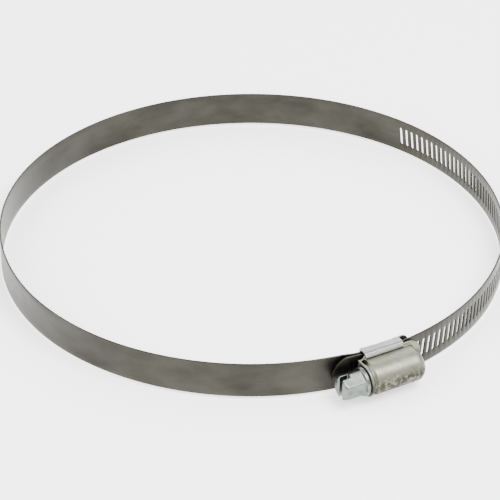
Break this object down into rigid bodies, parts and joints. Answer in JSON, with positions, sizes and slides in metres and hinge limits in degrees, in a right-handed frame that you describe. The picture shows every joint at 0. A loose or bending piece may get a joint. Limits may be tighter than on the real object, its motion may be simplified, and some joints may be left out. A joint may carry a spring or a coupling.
{
  "type": "hose clamp",
  "caption": "Worm-drive hose clamp: a slotted steel band passes through a domed housing, and a slotted hex-head worm screw draws it tight.",
  "frame": {"origin": "centre of the clamped circle with the clamp fully open, at the middle of the band's width", "axes": "+Z along the hose axis, screw housing at -Y, screw axis along X with the head towards -X"},
  "size_m": [0.1757, 0.1876, 0.0144],
  "materials": {
    "band": "satin rolled stainless strip",
    "housing": "pressed stainless, lightly worn",
    "saddle": "bright pressed stainless",
    "screw": "zinc plated"
  },
  "bodies": {
    "housing": {"housing": "housing", "saddle": "saddle", "band_fixed_end": "band"},
    "screw": {"screw": "screw"},
    "band_plain_1": {"band_plain_1": "band"},
    "band_plain_2": {"band_plain_2": "band"},
    "band_plain_3": {"band_plain_3": "band"},
    "band_plain_4": {"band_plain_4": "band"},
    "band_plain_5": {"band_plain_5": "band"},
    "band_plain_6": {"band_plain_6": "band"},
    "band_plain_7": {"band_plain_7": "band"},
    "band_plain_8": {"band_plain_8": "band"},
    "band_plain_9": {"band_plain_9": "band"},
    "band_plain_10": {"band_plain_10": "band"},
    "band_plain_11": {"band_plain_11": "band"},
    "band_plain_12": {"band_plain_12": "band"},
    "band_plain_13": {"band_plain_13": "band"},
    "band_slotted_1": {"band_slotted_1": "band"},
    "band_slotted_2": {"band_slotted_2": "band"},
    "band_slotted_3": {"band_slotted_3": "band"},
    "band_slotted_4": {"band_slotted_4": "band"},
    "band_slotted_5": {"band_slotted_5": "band"},
    "band_slotted_6": {"band_slotted_6": "band"},
    "band_slotted_7": {"band_slotted_7": "band"},
    "band_slotted_8": {"band_slotted_8": "band"}
  },
  "joints": [
    {"name": "screw_turn", "type": "hinge", "parent": "housing", "child": "screw", "pos_m": [0, -0.0943, 0], "axis": [1, 0, 0], "range_deg": [0, 19890]},
    {"name": "bend_plain_1", "type": "hinge", "parent": "housing", "child": "band_plain_1", "pos_m": [-0.01514, -0.08588, 0], "axis": [0, 0, -1], "range_deg": [0, 6.25]},
    {"name": "bend_plain_2", "type": "hinge", "parent": "band_plain_1", "child": "band_plain_2", "pos_m": [-0.04053, -0.07721, 0], "axis": [0, 0, -1], "range_deg": [0, 6.21]},
    {"name": "bend_plain_3", "type": "hinge", "parent": "band_plain_2", "child": "band_plain_3", "pos_m": [-0.06209, -0.06123, 0], "axis": [0, 0, -1], "range_deg": [0, 6.16]},
    {"name": "bend_plain_4", "type": "hinge", "parent": "band_plain_3", "child": "band_plain_4", "pos_m": [-0.07776, -0.03945, 0], "axis": [0, 0, -1], "range_deg": [0, 6.12]},
    {"name": "bend_plain_5", "type": "hinge", "parent": "band_plain_4", "child": "band_plain_5", "pos_m": [-0.08608, -0.01394, 0], "axis": [0, 0, -1], "range_deg": [0, 6.07]},
    {"name": "bend_plain_6", "type": "hinge", "parent": "band_plain_5", "child": "band_plain_6", "pos_m": [-0.08624, 0.01289, 0], "axis": [0, 0, -1], "range_deg": [0, 6.04]},
    {"name": "bend_plain_7", "type": "hinge", "parent": "band_plain_6", "child": "band_plain_7", "pos_m": [-0.07824, 0.0385, 0], "axis": [0, 0, -1], "range_deg": [0, 6.01]},
    {"name": "bend_plain_8", "type": "hinge", "parent": "band_plain_7", "child": "band_plain_8", "pos_m": [-0.06284, 0.06046, 0], "axis": [0, 0, -1], "range_deg": [0, 5.99]},
    {"name": "bend_plain_9", "type": "hinge", "parent": "band_plain_8", "child": "band_plain_9", "pos_m": [-0.04148, 0.0767, 0], "axis": [0, 0, -1], "range_deg": [0, 5.96]},
    {"name": "bend_plain_10", "type": "hinge", "parent": "band_plain_9", "child": "band_plain_10", "pos_m": [-0.0162, 0.08568, 0], "axis": [0, 0, -1], "range_deg": [0, 5.93]},
    {"name": "bend_plain_11", "type": "hinge", "parent": "band_plain_10", "child": "band_plain_11", "pos_m": [0.01062, 0.08655, 0], "axis": [0, 0, -1], "range_deg": [0, 5.89]},
    {"name": "bend_plain_12", "type": "hinge", "parent": "band_plain_11", "child": "band_plain_12", "pos_m": [0.03643, 0.07922, 0], "axis": [0, 0, -1], "range_deg": [0, 5.82]},
    {"name": "bend_plain_13", "type": "hinge", "parent": "band_plain_12", "child": "band_plain_13", "pos_m": [0.05879, 0.0644, 0], "axis": [0, 0, -1], "range_deg": [0, 5.74]},
    {"name": "bend_slotted_1", "type": "hinge", "parent": "band_plain_13", "child": "band_slotted_1", "pos_m": [0.07559, 0.04347, 0], "axis": [0, 0, -1], "range_deg": [0, 5.63]},
    {"name": "bend_slotted_2", "type": "hinge", "parent": "band_slotted_1", "child": "band_slotted_2", "pos_m": [0.08491, 0.02003, 0], "axis": [0, 0, -1], "range_deg": [0, 5.53]},
    {"name": "bend_slotted_3", "type": "hinge", "parent": "band_slotted_2", "child": "band_slotted_3", "pos_m": [0.08723, -0.00509, 0], "axis": [0, 0, -1], "range_deg": [0, 5.45]},
    {"name": "bend_slotted_4", "type": "hinge", "parent": "band_slotted_3", "child": "band_slotted_4", "pos_m": [0.08235, -0.02984, 0], "axis": [0, 0, -1], "range_deg": [0, 5.44]},
    {"name": "bend_slotted_5", "type": "hinge", "parent": "band_slotted_4", "child": "band_slotted_5", "pos_m": [0.07067, -0.0522, 0], "axis": [0, 0, -1], "range_deg": [0, 5.49]},
    {"name": "bend_slotted_6", "type": "hinge", "parent": "band_slotted_5", "child": "band_slotted_6", "pos_m": [0.05314, -0.07034, 0], "axis": [0, 0, -1], "range_deg": [0, 5.57]},
    {"name": "bend_slotted_7", "type": "hinge", "parent": "band_slotted_6", "child": "band_slotted_7", "pos_m": [0.0312, -0.08279, 0], "axis": [0, 0, -1], "range_deg": [0, 5.69]},
    {"name": "bend_slotted_8", "type": "hinge", "parent": "band_slotted_7", "child": "band_slotted_8", "pos_m": [0.00663, -0.08852, 0], "axis": [0, 0, -1], "range_deg": [0, 5.81]}
  ],
  "couplings": [
    {"joint": "bend_plain_1", "follows": "screw_turn", "ratio": 0.00031448},
    {"joint": "bend_plain_2", "follows": "screw_turn", "ratio": 0.00031212},
    {"joint": "bend_plain_3", "follows": "screw_turn", "ratio": 0.00030975},
    {"joint": "bend_plain_4", "follows": "screw_turn", "ratio": 0.00030749},
    {"joint": "bend_plain_5", "follows": "screw_turn", "ratio": 0.00030538},
    {"joint": "bend_plain_6", "follows": "screw_turn", "ratio": 0.00030362},
    {"joint": "bend_plain_7", "follows": "screw_turn", "ratio": 0.00030221},
    {"joint": "bend_plain_8", "follows": "screw_turn", "ratio": 0.00030106},
    {"joint": "bend_plain_9", "follows": "screw_turn", "ratio": 0.0002999},
    {"joint": "bend_plain_10", "follows": "screw_turn", "ratio": 0.00029839},
    {"joint": "bend_plain_11", "follows": "screw_turn", "ratio": 0.00029608},
    {"joint": "bend_plain_12", "follows": "screw_turn", "ratio": 0.00029276},
    {"joint": "bend_plain_13", "follows": "screw_turn", "ratio": 0.00028839},
    {"joint": "bend_slotted_1", "follows": "screw_turn", "ratio": 0.00028326},
    {"joint": "bend_slotted_2", "follows": "screw_turn", "ratio": 0.00027808},
    {"joint": "bend_slotted_3", "follows": "screw_turn", "ratio": 0.00027421},
    {"joint": "bend_slotted_4", "follows": "screw_turn", "ratio": 0.00027355},
    {"joint": "bend_slotted_5", "follows": "screw_turn", "ratio": 0.00027577},
    {"joint": "bend_slotted_6", "follows": "screw_turn", "ratio": 0.00028019},
    {"joint": "bend_slotted_7", "follows": "screw_turn", "ratio": 0.00028597},
    {"joint": "bend_slotted_8", "follows": "screw_turn", "ratio": 0.00029216}
  ]
}
